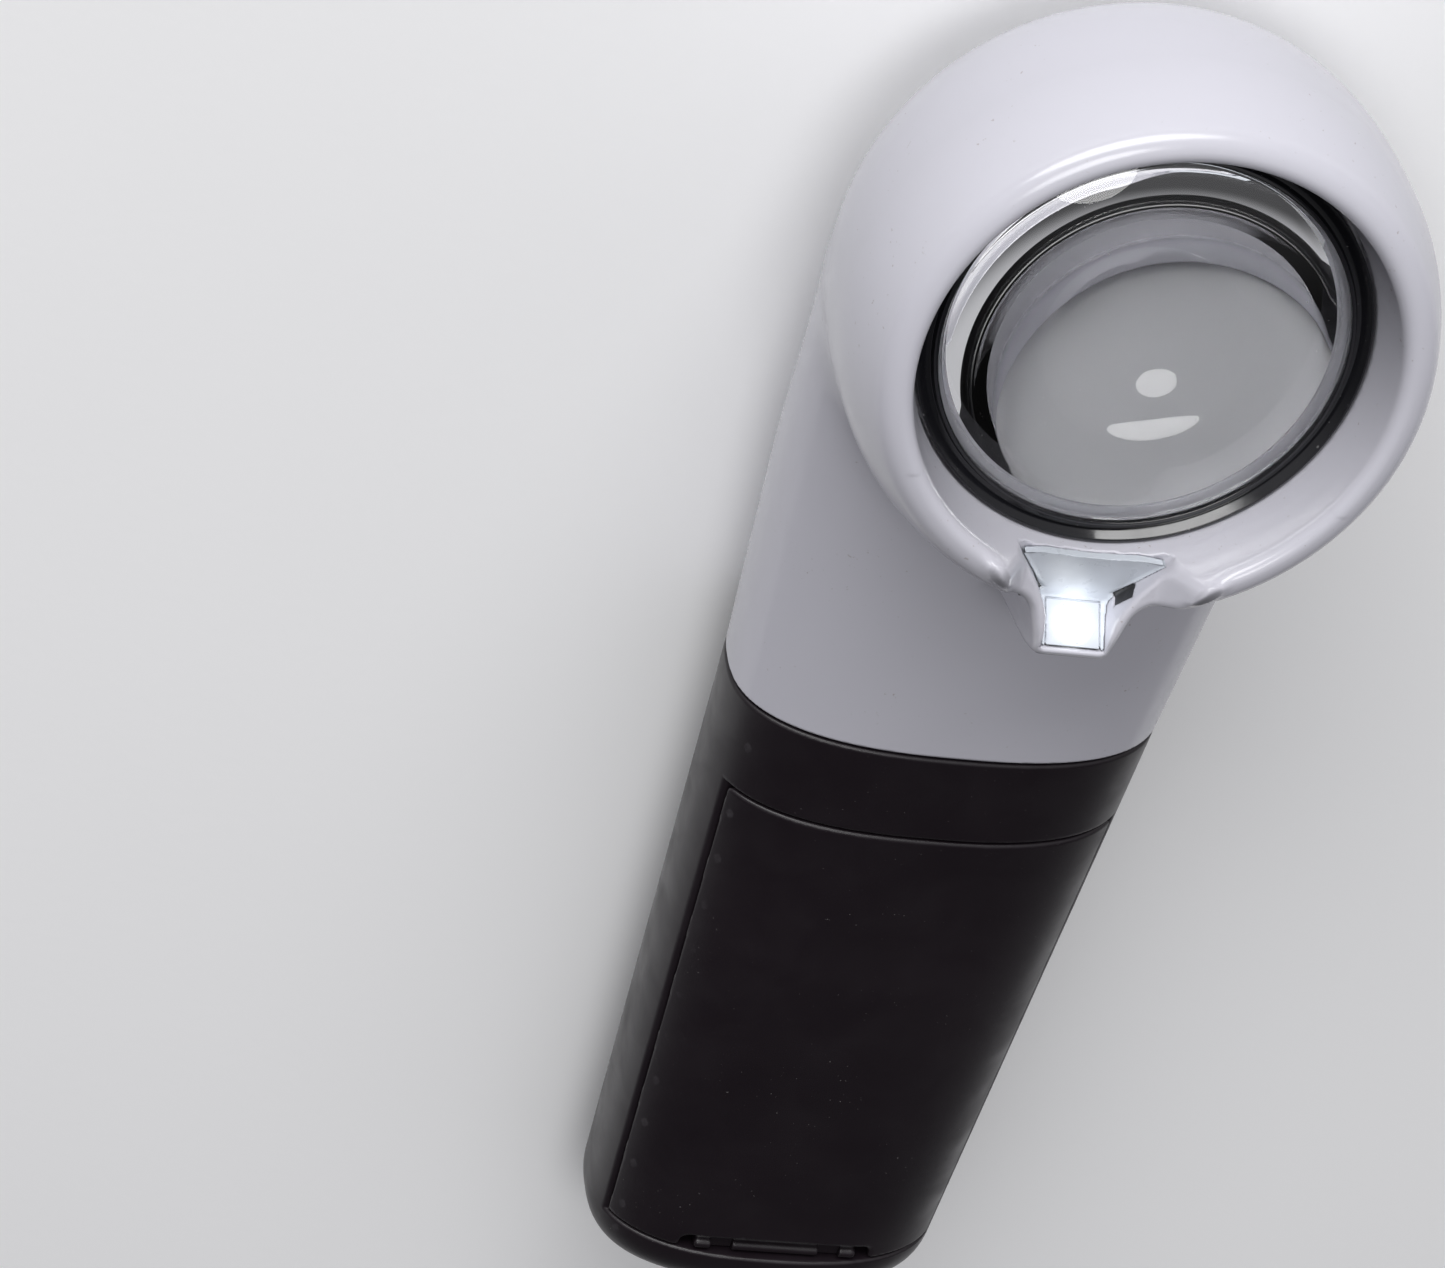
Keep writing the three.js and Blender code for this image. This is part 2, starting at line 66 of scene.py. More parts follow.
# Handle and neck, along s: distance from the lens axis towards the handle's end.
HEAD_REACH = 24.14               # how far the head reaches beyond the lens axis
AXIS_Y = CAD_BOX[0][1] / MM + HEAD_REACH
HANDLE_END = CAD_BOX[1][1] / MM - AXIS_Y
NECK_START = -4                  # the neck begins inside the head
NECK_TURN = 14                   # radius of the neck's corners inside the head, seen in plan
RISE = (36, 22, 3)               # start, length and height of the lift of the neck's eye side
TUCK = (13, 14, 7)               # the same for its tuck under the head
NECK_HOLLOW_START = 38
WAIST = 10.7                     # height of the widest line
SEAM = 59.1                      # white neck meets black handle
GROOVE = 69.6                    # top edge of the battery door
DOOR_END = 130.1
END_ROUND = 5.2
SEAM_HALF_WIDTH = 20.8
NECK_TAPER = 0.0627              # half width lost per millimetre
HANDLE_TAPER = 0.0409
FRONT = 21.55                    # height of the page-side face
CROWN = 0.15                     # taken off the eye side to leave a flat land
SECTION_POWER = 2.54
DOOR_SPLIT = 15.95               # height of the door's parting line
DOOR_THICKNESS = 1.8
WALL = 2
GAP = 0.3
COLLAR_WALL = 3.7
COLLAR_START = 53.5
BAY = (71.5, 129)                # ends of the battery bay

# Head: its own z is the rim's normal and its own y points down the handle.
TILT = 0.181                     # radians
RIM_HEIGHT = 34.95               # of the rim's plane where the lens axis passes
RIM_WALL = 21.3                  # radius of the recess at the rim
WALL_DRAFT = 1.05                # radius that the recess loses down to the ring
RIM_ROUND = 1.7
HEAD_RADIUS = 26.1
HEAD_WIDEST = 10.3               # depth of the widest circle below the rim
HEAD_DEPTH = 26.4
BACK_RADIUS = 16.2               # of the flat part of the back
SHOULDER_POWER = 3.06
RIM_SLOPE = 2.42                 # radius that the head loses from its widest circle to the rim
RING_RADIUS = 19.95
RING_DEPTH = 6.4                 # of the ring's outer step below the rim
LENS_RADIUS = 18.4
LENS_FRONT = 6.6                 # depth of the front face's edge below the rim
LENS_BACK = 9.5                  # depth of the rear face's edge
FRONT_FACE = (17.6, 3.4)         # edge radius and height of the lens's curved faces
REAR_FACE = (16.6, 6.5)
FLANGE_DROP = 0.9                # step from the front face's edge down to the flange
TUBE_RADIUS = 16.9               # of the eye opening
COVER_RADIUS = 19.6              # of the trim ring round the eye opening
COVER_SEAT = 1.6                 # how deep the trim ring's seat is
EYE_WELL = 14                    # how deep the round well behind the trim ring cuts the neck

# Lamp spout, in the head's y and z. A pair of (y, z) points is a line seen from the side.
LAMP_Y = 27.8
LAMP_Z = -4.7
LAMP_TILT = 0.864                # radians
CREST = -3.1                     # height of the spout's edge where it leaves the rim
CREST_RISE = 0.35                # how much higher its far end is
CREST_SPAN = (23, 5)             # start and length of that rise
SPOUT_START = 18
SPOUT_FOOT = -22
SPOUT_LIP = ((29.75, -2.6), (31.4, -5.6))
SPOUT_CHIN = ((31.4, -5.6), (33.4, -22))
NOTCH_START = 12                 # the notch is the dip in the rim above the spout
NOTCH_HALF_WIDTH = 5.9
NOTCH_SHOULDER = 3.5             # width over which it climbs back to the rim
NOTCH_CLEARANCE = 0.9            # height above the rim that the climb aims at
RAMP = ((20.75, -4.7), (26.05, -6.7))
RAMP_HOLLOW = 0.011              # how quickly the ramp rises towards its sides
PANEL = ((26.05, -6.7), (29.5, -2.7))
PANEL_END = 29.0
PLATE = 0.8                      # thickness of the trough's insert

# Filter slots: centre, directions, half sizes. The lamp's dome.
SLOT_CENTRE = (3.85, 24.35, -5.2)
SLOT_ALONG = np.array((1.2, -2.3, 1.5))
SLOT_UP = (0.26, 0.6, 0.75)
SLOT_SIZE = (1.25, 1.8, 0.62)
DOME_RADIUS = 1.75
DOME_HEIGHT = 2
DOME_SKIRT = 0.25

# Screw posts, cells, contact springs, latch and switch knob.
POST_X = 13.6
POST_Z = 10.7
POST_RADIUS = 2.5
POST_MIDDLE = 54.5
POST_HALF_LENGTH = 14.5
CELL_Z = 10.2
CELL_RADIUS = 7.25
CELL_LENGTH = 49.4
CELL_NUB = 1                     # how far the nub stands out
JACKET_EDGE = 6.4                # radius inside which a cell's ends are bare steel
COIL_TURNS = 3.5
COIL_RADII = (4.4, 2.9)          # at the spring's foot and at its tip
COIL_WIRE = 0.35
LATCH_S = 128.95
LATCH_Z = 18.9
KNOB_S = 65.9
KNOB_Z = 1.03
RIDGE_PITCH = 1.2

# Meshes: softness of moulded edges, spacing of the points, room round a piece's node and
# steps in the arc of a turned corner.
EDGE = 0.35
STEP = 0.3
# spacing of the points of the dark sheets of painted shade in the filter slots
SHADE_SHEET_STEP = 0.12
ROOM = 0.4
ARC_STEPS = 6


# ------------------------------------------------------------------ distance fields

def join(a, b, blend):
    """Union with a fillet about blend wide."""
    near = np.maximum(blend - np.abs(a - b), 0) / blend
    return np.minimum(a, b) - near * near * blend / 4


def meet(a, b, blend=EDGE):
    """Intersection with a rounded edge."""
    return -join(-a, -b, blend)


def cut(a, b, blend=EDGE):
    """What is left of a where b is taken away."""
    return meet(a, -b, blend)


def smooth_step(t):
    t = np.clip(t, 0, 1)
    return t * t * (3 - 2 * t)


def smooth_curve(points):
    """A smooth function through (at, value) points, level outside them."""
    at, value = np.array(points, float).T
    slope = np.gradient(value, at)

    def curve(x):
        x = np.clip(x, at[0], at[-1])
        i = np.clip(np.searchsorted(at, x) - 1, 0, len(at) - 2)
        width = at[i + 1] - at[i]
        t = (x - at[i]) / width
        rise = (1 + 2 * t) * (1 - t) ** 2 * value[i] + t * t * (3 - 2 * t) * value[i + 1]
        bend = t * (1 - t) ** 2 * slope[i] - t * t * (1 - t) * slope[i + 1]
        return rise + bend * width

    return curve


def within(*parts):
    """Intersection with sharp edges."""
    common = parts[0]
    for part in parts[1:]:
        common = np.maximum(common, part)
    return common


def rod(across, up, radius):
    """Distance to a long cylinder."""
    return np.hypot(across, up) - radius


def block(x, y, z, half):
    """Distance to a box centred on the origin."""
    return within(np.abs(x) - half[0], np.abs(y) - half[1], np.abs(z) - half[2])


def side_of(line, y, z):
    """Height above the line through two (y, z) points."""
    (y0, z0), (y1, z1) = line
    length = math.hypot(y1 - y0, z1 - z0)
    return ((z - z0) * (y1 - y0) - (y - y0) * (z1 - z0)) / length


def superellipse(x, y, half_x, half_y, power):
    """Distance to a superellipse, nearly true close to its outline."""
    u = np.abs(x) / half_x
    v = np.abs(y) / half_y
    size = np.maximum((u ** power + v ** power) ** (1 / power), 1e-3)
    pull = np.hypot(u ** (power - 1) / half_x, v ** (power - 1) / half_y) * size ** (1 - power)
    return (size - 1) / np.maximum(pull, 0.5 / max(np.max(half_x), np.max(half_y)))


def neck_lift(s):
    """Height of the neck's eye side: it lifts a little, and then tucks in under the head."""
    return sum(height * smooth_step((start - s) / length) for start, length, height in (RISE, TUCK))


def bar(x, s, z):
    """The flat bar that the neck and the handle share, without ends."""
    taper = np.where(s < SEAM, NECK_TAPER, HANDLE_TAPER)
    turn_in = np.clip(NECK_START + NECK_TURN - s, 0, NECK_TURN)
    narrowing = NECK_TURN - np.sqrt(NECK_TURN ** 2 - turn_in ** 2)
    half_width = SEAM_HALF_WIDTH - (s - SEAM) * taper - narrowing
    low = neck_lift(s) - CROWN
    waist = WAIST + neck_lift(s) / 2
    half_height = np.where(z > waist, FRONT - waist, waist - low)
    section = superellipse(x, z - waist, half_width, half_height, SECTION_POWER)
    return meet(section, low + CROWN - z, EDGE)


def head_frame(s, z):
    """Handle coordinates to the head's own y and z."""
    up = z - RIM_HEIGHT
    return (s * math.cos(TILT) + up * math.sin(TILT), up * math.cos(TILT) - s * math.sin(TILT))


def lamp_frame(y, z):
    """The head's y and z to the lamp's."""
    return ((y - LAMP_Y) * math.cos(LAMP_TILT) + (z - LAMP_Z) * math.sin(LAMP_TILT),
            (z - LAMP_Z) * math.cos(LAMP_TILT) - (y - LAMP_Y) * math.sin(LAMP_TILT))


def net(distance, low, high, step):
    """The surface distance(x, y, z) = 0 as points, quads and normals: one point in each cell."""
    axes = [np.arange(a - 1.5 * step, b + 2.5 * step, step) for a, b in zip(low, high)]
    field = np.empty([len(a) for a in axes], np.float32)
    for i, x in enumerate(axes[0]):
        field[i] = distance(x, axes[1][:, None], axes[2][None, :])
    inside = field < 0
    cells = [n - 1 for n in field.shape]
    total = np.zeros(cells + [3], np.float32)
    count = np.zeros(cells, np.uint8)
    crossings = []
    for a in range(3):
        b, c = (a + 1) % 3, (a + 2) % 3
        near = np.take(field, range(cells[a]), a)
        far = np.take(field, range(1, cells[a] + 1), a)
        crossed = (near < 0) != (far < 0)
        where = np.where(crossed, near / np.where(crossed, near - far, 1), 0)
        crossings.append(crossed)
        for db in (0, 1):
            for dc in (0, 1):
                window = [slice(None)] * 3
                window[b] = slice(db, db + cells[b])
                window[c] = slice(dc, dc + cells[c])
                hit = crossed[tuple(window)]
                total[..., a] += where[tuple(window)]
                total[..., b] += db * hit
                total[..., c] += dc * hit
                count += hit
    mixed = count > 0
    index = np.full(cells, -1, np.int64)
    index[mixed] = np.arange(mixed.sum())
    origin = np.array([a[0] for a in axes])
    points = origin + (np.argwhere(mixed) + total[mixed] / count[mixed][:, None]) * step
    quads = []
    for a in range(3):
        b, c = (a + 1) % 3, (a + 2) % 3
        at = np.argwhere(crossings[a])
        at = at[(at[:, b] > 0) & (at[:, c] > 0) & (at[:, b] < cells[b]) & (at[:, c] < cells[c])]
        corners = []
        for db, dc in ((1, 1), (0, 1), (0, 0), (1, 0)):
            cell = at.copy()
            cell[:, b] -= db
            cell[:, c] -= dc
            corners.append(index[tuple(cell.T)])
        quad = np.stack(corners, 1)
        outward = inside[tuple(at.T)]
        quads.append(np.where(outward[:, None], quad, quad[:, ::-1]))
    quads = np.concatenate(quads)
    for _ in range(3):
        value, slope = slope_of(distance, points)
        move = slope * (value / np.maximum((slope ** 2).sum(1), 0.1))[:, None]
        reach = np.maximum(np.linalg.norm(move, axis=1) / (0.5 * step), 1)
        points = points - move / reach[:, None]
    value, slope = slope_of(distance, points)
    normals = slope / np.maximum(np.linalg.norm(slope, axis=1), 1e-6)[:, None]
    return points, quads, normals


def slope_of(distance, points):
    """The distance at the points and its slope there."""
    small = 0.03
    slope = np.empty_like(points)
    for a in range(3):
        step = np.zeros(3)
        step[a] = small
        ahead = distance(*(points + step).T)
        behind = distance(*(points - step).T)
        slope[:, a] = (ahead - behind) / (2 * small)
    return distance(*points.T), slope


# ------------------------------------------------------------------ meshes

def add_mesh(name, points, faces, material, normals=None):
    """A piece from points in the CAD frame, in millimetres."""
    mesh = bpy.data.meshes.new(name)
    if isinstance(faces, np.ndarray):
        faces = faces.tolist()
    mesh.from_pydata((np.asarray(points, float) * MM).tolist(), [], faces)
    mesh.polygons.foreach_set("use_smooth", [True] * len(mesh.polygons))
    mesh.update()
    if normals is not None:
        mesh.normals_split_custom_set_from_vertices(normals.tolist())
    piece = bpy.data.objects.new(name, mesh)
    bpy.context.scene.collection.objects.link(piece)
    mesh.materials.append(material)
    return piece


def moulded(name, distance, low, high, material, step=STEP):
    """A moulded piece from its distance field over x, s and z."""
    points, quads, normals = net(distance, low, high, step)
    points = np.clip(points, np.array(low) + ROOM, np.array(high) - ROOM)
    points[:, 1] += AXIS_Y
    return add_mesh(name, points, quads, material, normals)


def rounded(corners, closed=True):
    """A profile whose corners, given as (r, z, radius), are turned into arcs."""
    points = []
    count = len(corners)
    for i, (r, z, radius) in enumerate(corners):
        if radius == 0 or (not closed and i in (0, count - 1)):
            points.append((r, z))
            continue
        here = np.array((r, z))
        before = np.array(corners[i - 1][:2]) - here
        after = np.array(corners[(i + 1) % count][:2]) - here
        before /= np.linalg.norm(before)
        after /= np.linalg.norm(after)
        half = math.acos(np.clip(before @ after, -1, 1)) / 2
        if half > 1.5:
            points.append((r, z))
            continue
        back = radius / math.tan(half)
        centre = here + (before + after) / np.linalg.norm(before + after) * radius / math.sin(half)
        start = here + before * back - centre
        end = here + after * back - centre
        turn = math.atan2(start[0] * end[1] - start[1] * end[0], start @ end)
        for k in range(ARC_STEPS + 1):
            a = turn * k / ARC_STEPS
            arm = (start[0] * math.cos(a) - start[1] * math.sin(a),
                   start[0] * math.sin(a) + start[1] * math.cos(a))
            points.append((centre[0] + arm[0], centre[1] + arm[1]))
    return points


def head_place(x, y, z):
    """A point of the head's own frame in the CAD frame."""
    return (x, AXIS_Y + y * math.cos(TILT) - z * math.sin(TILT),
            RIM_HEIGHT + y * math.sin(TILT) + z * math.cos(TILT))


def lamp_place(x, y, z):
    """A point of the lamp's own frame in the CAD frame."""
    return head_place(x, LAMP_Y + y * math.cos(LAMP_TILT) - z * math.sin(LAMP_TILT),
                      LAMP_Z + y * math.sin(LAMP_TILT) + z * math.cos(LAMP_TILT))


def turned(name, profile, place, material, segments=192, closed=True):
    """A turned piece: its (r, z) profile swept round z and placed.

    An open profile starts and ends at r = 0.
    """
    rings = profile if closed else profile[1:-1]
    points = []
    for r, z in rings:
        for k in range(segments):
            angle = 2 * math.pi * k / segments
            points.append(place(r * math.cos(angle), r * math.sin(angle), z))
    faces = []
    for i in range(len(rings) if closed else len(rings) - 1):
        a = i * segments
        b = ((i + 1) % len(rings)) * segments
        for k in range(segments):
            n = (k + 1) % segments
            faces.append([a + k, a + n, b + n, b + k])
    if not closed:
        first = len(points)
        points += [place(0, 0, profile[0][1]), place(0, 0, profile[-1][1])]
        last_ring = (len(rings) - 1) * segments
        for k in range(segments):
            n = (k + 1) % segments
            faces.append([first, n, k])
            faces.append([first + 1, last_ring + k, last_ring + n])
    piece = add_mesh(name, points, faces, material)
    outward(piece)
    return piece


def outward(piece):
    """Turns the faces' normals outwards."""
    shape = bmesh.new()
    shape.from_mesh(piece.data)
    bmesh.ops.recalc_face_normals(shape, faces=shape.faces)
    shape.to_mesh(piece.data)
    shape.free()


def sharpen(piece, degrees=35):
    """Smooth shading that breaks at edges sharper than this."""
    piece.data.set_sharp_from_angle(angle=math.radians(degrees))


def softened(name, low, high, place, material, bevel):
    """A box with rounded edges, given by two corners and placed."""
    points = []
    for x in (low[0], high[0]):
        for y in (low[1], high[1]):
            for z in (low[2], high[2]):
                points.append(place(x, y, z))
    faces = [[0, 1, 3, 2], [4, 6, 7, 5], [0, 4, 5, 1], [2, 3, 7, 6], [0, 2, 6, 4], [1, 5, 7, 3]]
    piece = add_mesh(name, points, faces, material)
    outward(piece)
    rounding = piece.modifiers.new("edges", "BEVEL")
    rounding.width = bevel * MM
    rounding.segments = 3
    rounding.harden_normals = True
    return piece


def tube(name, path, radius, material):
    """A round wire along points of the CAD frame."""
    curve = bpy.data.curves.new(name, "CURVE")
    curve.dimensions = "3D"
    curve.bevel_depth = radius * MM
    curve.bevel_resolution = 6
    curve.use_fill_caps = True
    line = curve.splines.new("NURBS")
    line.points.add(len(path) - 1)
    for point, place in zip(line.points, path):
        point.co = (*(c * MM for c in place), 1)
    line.use_endpoint_u = True
    line.order_u = 4
    curve.resolution_u = 6
    shape = bpy.data.objects.new(name + "_line", curve)
    bpy.context.scene.collection.objects.link(shape)
    bpy.context.view_layer.update()
    ready = shape.evaluated_get(bpy.context.evaluated_depsgraph_get())
    mesh = bpy.data.meshes.new_from_object(ready)
    bpy.data.objects.remove(shape)
    mesh.name = name
    mesh.materials.clear()
    mesh.materials.append(material)
    mesh.polygons.foreach_set("use_smooth", [True] * len(mesh.polygons))
    piece = bpy.data.objects.new(name, mesh)
    bpy.context.scene.collection.objects.link(piece)
    return piece


def settle(piece, body, slot, *nodes):
    """The piece moves with its body and stands for the nodes. The slot is not used."""
    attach(piece, body)
    if nodes:
        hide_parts(*nodes)


# ------------------------------------------------------------------ materials

def mapped(tree, value, low, high, to_low, to_high, how="LINEAR"):
    """A node that maps the value's range low..high to to_low..to_high."""
    node = tree.nodes.new("ShaderNodeMapRange")
    node.interpolation_type = how
    names = ("From Min", "From Max", "To Min", "To Max")
    for name, number in zip(names, (low, high, to_low, to_high)):
        node.inputs[name].default_value = number
    tree.links.new(value, node.inputs["Value"])
    return node.outputs["Result"]


class Finish:
    """A procedural material built up from noise in the piece's own coordinates, in metres."""

    def __init__(self, name, color, roughness, **sockets):
        self.material = bpy.data.materials.new(name)
        self.material.use_nodes = True
        self.tree = self.material.node_tree
        self.shader = self.tree.nodes["Principled BSDF"]
        self.shader.inputs["Base Color"].default_value = (*color, 1)
        self.shader.inputs["Roughness"].default_value = roughness
        for socket, value in sockets.items():
            self.shader.inputs[socket.replace("_", " ")].default_value = value
        self.place = self.tree.nodes.new("ShaderNodeTexCoord").outputs["Object"]
        self.color = None
        self.base = color
        self.normal = None

    def noise(self, size, detail=2.0, distortion=0.0, stretch=None):
        """Noise whose features are about size millimetres across."""
        node = self.tree.nodes.new("ShaderNodeTexNoise")
        node.inputs["Scale"].default_value = 1 / (size * MM)
        node.inputs["Detail"].default_value = detail
        node.inputs["Distortion"].default_value = distortion
        source = self.place
        if stretch:
            mapping = self.tree.nodes.new("ShaderNodeMapping")
            mapping.inputs["Scale"].default_value = stretch
            self.tree.links.new(source, mapping.inputs["Vector"])
            source = mapping.outputs["Vector"]
        self.tree.links.new(source, node.inputs["Vector"])
        return node.outputs["Fac"]

    def ranged(self, value, low, high, to_low=0.0, to_high=1.0):
        return mapped(self.tree, value, low, high, to_low, to_high)

    def times(self, a, b):
        node = self.tree.nodes.new("ShaderNodeMath")
        node.operation = "MULTIPLY"
        self.tree.links.new(a, node.inputs[0])
        self.tree.links.new(b, node.inputs[1])
        return node.outputs["Value"]

    def paint(self, factor, color):
        """Colours the surface where factor is high."""
        node = self.tree.nodes.new("ShaderNodeMix")
        node.data_type = "RGBA"
        self.tree.links.new(factor, node.inputs[0])
        if self.color:
            self.tree.links.new(self.color, node.inputs[6])
        else:
            node.inputs[6].default_value = (*self.base, 1)
        node.inputs[7].default_value = (*color, 1)
        self.color = node.outputs[2]
        self.tree.links.new(self.color, self.shader.inputs["Base Color"])

    def roughen(self, value, low, high):
        """Varies the roughness between low and high."""
        self.tree.links.new(self.ranged(value, 0.3, 0.7, low, high), self.shader.inputs["Roughness"])

    def emboss(self, height, depth):
        """Raises the surface by depth millimetres where height is high."""
        node = self.tree.nodes.new("ShaderNodeBump")
        node.inputs["Distance"].default_value = depth * MM
        node.inputs["Strength"].default_value = 1
        self.tree.links.new(height, node.inputs["Height"])
        if self.normal:
            self.tree.links.new(self.normal, node.inputs["Normal"])
        self.normal = node.outputs["Normal"]
        self.tree.links.new(self.normal, self.shader.inputs["Normal"])

    def edges(self):
        """High on worn outer edges."""
        node = self.tree.nodes.new("ShaderNodeNewGeometry")
        return self.ranged(node.outputs["Pointiness"], 0.53, 0.6)


def white_plastic():
    """Gloss white with faint specks and hair scratches."""
    f = Finish("white_gloss_plastic", (0.50, 0.495, 0.545), 0.2, Specular_IOR_Level=0.55)
    f.paint(f.ranged(f.noise(28, 2), 0.35, 0.75, 0, 0.5), (0.475, 0.47, 0.515))
    specks = f.times(f.ranged(f.noise(0.55, 2), 0.70, 0.76), f.ranged(f.noise(9, 1), 0.5, 0.62))
    f.paint(specks, (0.36, 0.33, 0.34))
    rising = f.ranged(f.noise(1.6, 1, 2.2), 0.497, 0.5)
    falling = f.ranged(f.noise(1.6, 1, 2.2), 0.503, 0.5)
    hairs = f.times(rising, falling)
    f.paint(f.times(hairs, f.ranged(f.noise(6, 1), 0.64, 0.70)), (0.42, 0.40, 0.42))
    f.roughen(f.noise(7, 4, 0.4), 0.13, 0.26)
    f.emboss(f.noise(1.4, 2), 0.006)
    f.emboss(f.noise(0.2, 2), 0.0006)
    return f.material


def reflector_white():
    f = Finish("lamp_reflector_white", (0.50, 0.53, 0.58), 0.32)
    f.paint(f.ranged(f.noise(2.5, 3), 0.45, 0.8, 0, 0.5), (0.44, 0.47, 0.51))
    f.roughen(f.noise(1.2, 3), 0.25, 0.42)
    f.emboss(f.noise(0.25, 2), 0.004)
    return f.material


def black_plastic():
    """Satin black, paler on worn edges, with a little dust."""
    f = Finish("black_satin_plastic", (0.0088, 0.0058, 0.0082), 0.36, Specular_IOR_Level=0.42)
    f.paint(f.ranged(f.noise(20, 3), 0.4, 0.7, 0, 0.6), (0.0125, 0.0085, 0.0115))
    worn = f.times(f.edges(), f.ranged(f.noise(3, 4), 0.35, 0.65))
    f.paint(f.times(worn, f.ranged(f.noise(0.6, 2), 0.2, 0.6, 0.2, 0.8)), (0.045, 0.040, 0.045))
    dust = f.times(f.ranged(f.noise(0.32, 2), 0.735, 0.77), f.ranged(f.noise(11, 1), 0.45, 0.6))
    f.paint(dust, (0.14, 0.13, 0.13))
    f.roughen(f.noise(5, 4, 0.5), 0.30, 0.44)
    f.emboss(f.noise(0.9, 2), 0.004)
    f.emboss(f.noise(0.14, 3), 0.0045)
    return f.material


def black_gloss():
    f = Finish("ring_gloss_black", (0.006, 0.006, 0.0075), 0.12, Specular_IOR_Level=0.6)
    f.paint(f.ranged(f.noise(0.5, 2), 0.72, 0.76), (0.09, 0.09, 0.09))
    f.roughen(f.noise(2.2, 3), 0.07, 0.2)
    f.emboss(f.noise(0.5, 2), 0.002)
    return f.material


def lens_glass():
    f = Finish("lens_clear", (0.985, 0.99, 0.99), 0.0, IOR=1.49, Transmission_Weight=1.0)
    dust = f.times(f.ranged(f.noise(0.5, 2), 0.73, 0.77), f.ranged(f.noise(7, 1), 0.5, 0.6))
    f.roughen(dust, 0.0, 0.3)
    return f.material


def led_white():
    f = Finish("led_ceramic_white", (0.82, 0.83, 0.80), 0.45)
    f.paint(f.ranged(f.noise(1.0, 2), 0.5, 0.75, 0, 0.5), (0.72, 0.73, 0.70))
    f.roughen(f.noise(0.6, 2), 0.38, 0.55)
    f.emboss(f.noise(0.2, 2), 0.003)
    return f.material


def led_glow():
    f = Finish("led_lit_dome", (0.96, 0.99, 1.0), 0.08, Emission_Strength=2.4)
    f.shader.inputs["Emission Color"].default_value = (0.95, 0.98, 1.0, 1)
    f.roughen(f.noise(0.8, 2), 0.05, 0.12)
    return f.material


def steel(name, tone, roughness):
    """Plated metal with brushing along the handle."""
    f = Finish(name, (tone, tone, tone * 1.01), roughness, Metallic=1.0)
    f.paint(f.ranged(f.noise(2.5, 3), 0.4, 0.7, 0, 0.6), (tone * 0.8, tone * 0.78, tone * 0.75))
    f.roughen(f.noise(0.8, 3, 0, (1, 0.08, 1)), roughness - 0.08, roughness + 0.12)
    f.emboss(f.noise(0.3, 2, 0, (1, 0.05, 1)), 0.002)
    return f.material


def board_green():
    f = Finish("board_green", (0.012, 0.10, 0.045), 0.35)
    tracks = f.ranged(f.noise(1.1, 1, 0, (1, 0.2, 1)), 0.5, 0.53)
    f.paint(tracks, (0.03, 0.17, 0.07))
    f.roughen(f.noise(1.5, 2), 0.28, 0.45)
    f.emboss(tracks, 0.03)
    return f.material


def moulded_small(name, color, roughness):
    """A plain finish for the small electrical parts."""
    f = Finish(name, color, roughness)
    f.paint(f.ranged(f.noise(1.2, 3), 0.4, 0.7, 0, 0.5), tuple(c * 0.75 for c in color))
    f.roughen(f.noise(0.7, 3), roughness - 0.1, roughness + 0.12)
    f.emboss(f.noise(0.25, 3), 0.006)
    return f.material


def cell_jacket():
    f = Finish("cell_jacket_grey", (0.30, 0.32, 0.35), 0.32, Metallic=0.55)
    f.paint(f.ranged(f.noise(9, 3), 0.4, 0.7, 0, 0.5), (0.24, 0.26, 0.29))
    f.roughen(f.noise(3, 4, 0, (1, 0.15, 1)), 0.24, 0.42)
    f.emboss(f.noise(1.0, 2), 0.008)
    return f.material


def pale_floor():
    f = Finish("pale_floor", (0.94, 0.94, 0.945), 0.7, Specular_IOR_Level=0.2)
    f.paint(f.ranged(f.noise(60, 3), 0.4, 0.7, 0, 0.4), (0.925, 0.925, 0.93))
    f.emboss(f.noise(1.2, 2), 0.01)
    return f.material


WHITE = white_plastic()
REFLECTOR = reflector_white()
BLACK = black_plastic()
GLOSS = black_gloss()
GLASS = lens_glass()
LED_WHITE = led_white()
GLOW = led_glow()
CONTACT = steel("contact_nickel", 0.62, 0.3)
SCREW = steel("screw_zinc", 0.5, 0.34)
GREEN = board_green()
CHIP = moulded_small("chip_black", (0.018, 0.018, 0.02), 0.5)
TAN = moulded_small("capacitor_tan", (0.42, 0.30, 0.17), 0.45)
RED_WIRE = moulded_small("wire_red", (0.36, 0.02, 0.02), 0.45)
BLACK_WIRE = moulded_small("wire_black", (0.015, 0.015, 0.015), 0.45)
JACKET = cell_jacket()


# ------------------------------------------------------------------ head

# Half widths of the spout and of its trough along the head's y.
spout_width = smooth_curve([(18, 10.9), (21.4, 8.9), (22.4, 6.9), (23.4, 5.75), (24.9, 4.9),
                            (27.3, 4.05), (29.9, 3.4), (34, 3.3)])
trough_width = smooth_curve([(16, 8.6), (19.4, 7.1), (21.6, 5.6), (22.9, 4.7), (24.2, 3.95),
                             (25.6, 3.3), (27, 3.0), (30, 2.9)])


def cup(radius, z):
    """The head's outside: a flat back, a superelliptic shoulder and a gently closing rim."""
    width = HEAD_RADIUS - BACK_RADIUS
    depth = HEAD_DEPTH - HEAD_WIDEST
    out = np.maximum(radius - BACK_RADIUS, 0)
    down = np.maximum(-HEAD_WIDEST - z, 0)
    shoulder = superellipse(out, down, width, depth, SHOULDER_POWER)
    rise = np.maximum(z + HEAD_WIDEST, 0) / HEAD_WIDEST
    slant = np.sqrt(1 + (2 * RIM_SLOPE * rise / HEAD_WIDEST) ** 2)
    front = (radius - HEAD_RADIUS + RIM_SLOPE * rise ** 2) / slant
    return np.where(z > -HEAD_WIDEST, front, shoulder)


def recess_wall(z):
    """Radius of the page-side recess at that depth."""
    return RIM_WALL - WALL_DRAFT * np.clip(-z / RING_DEPTH, 0, 1)


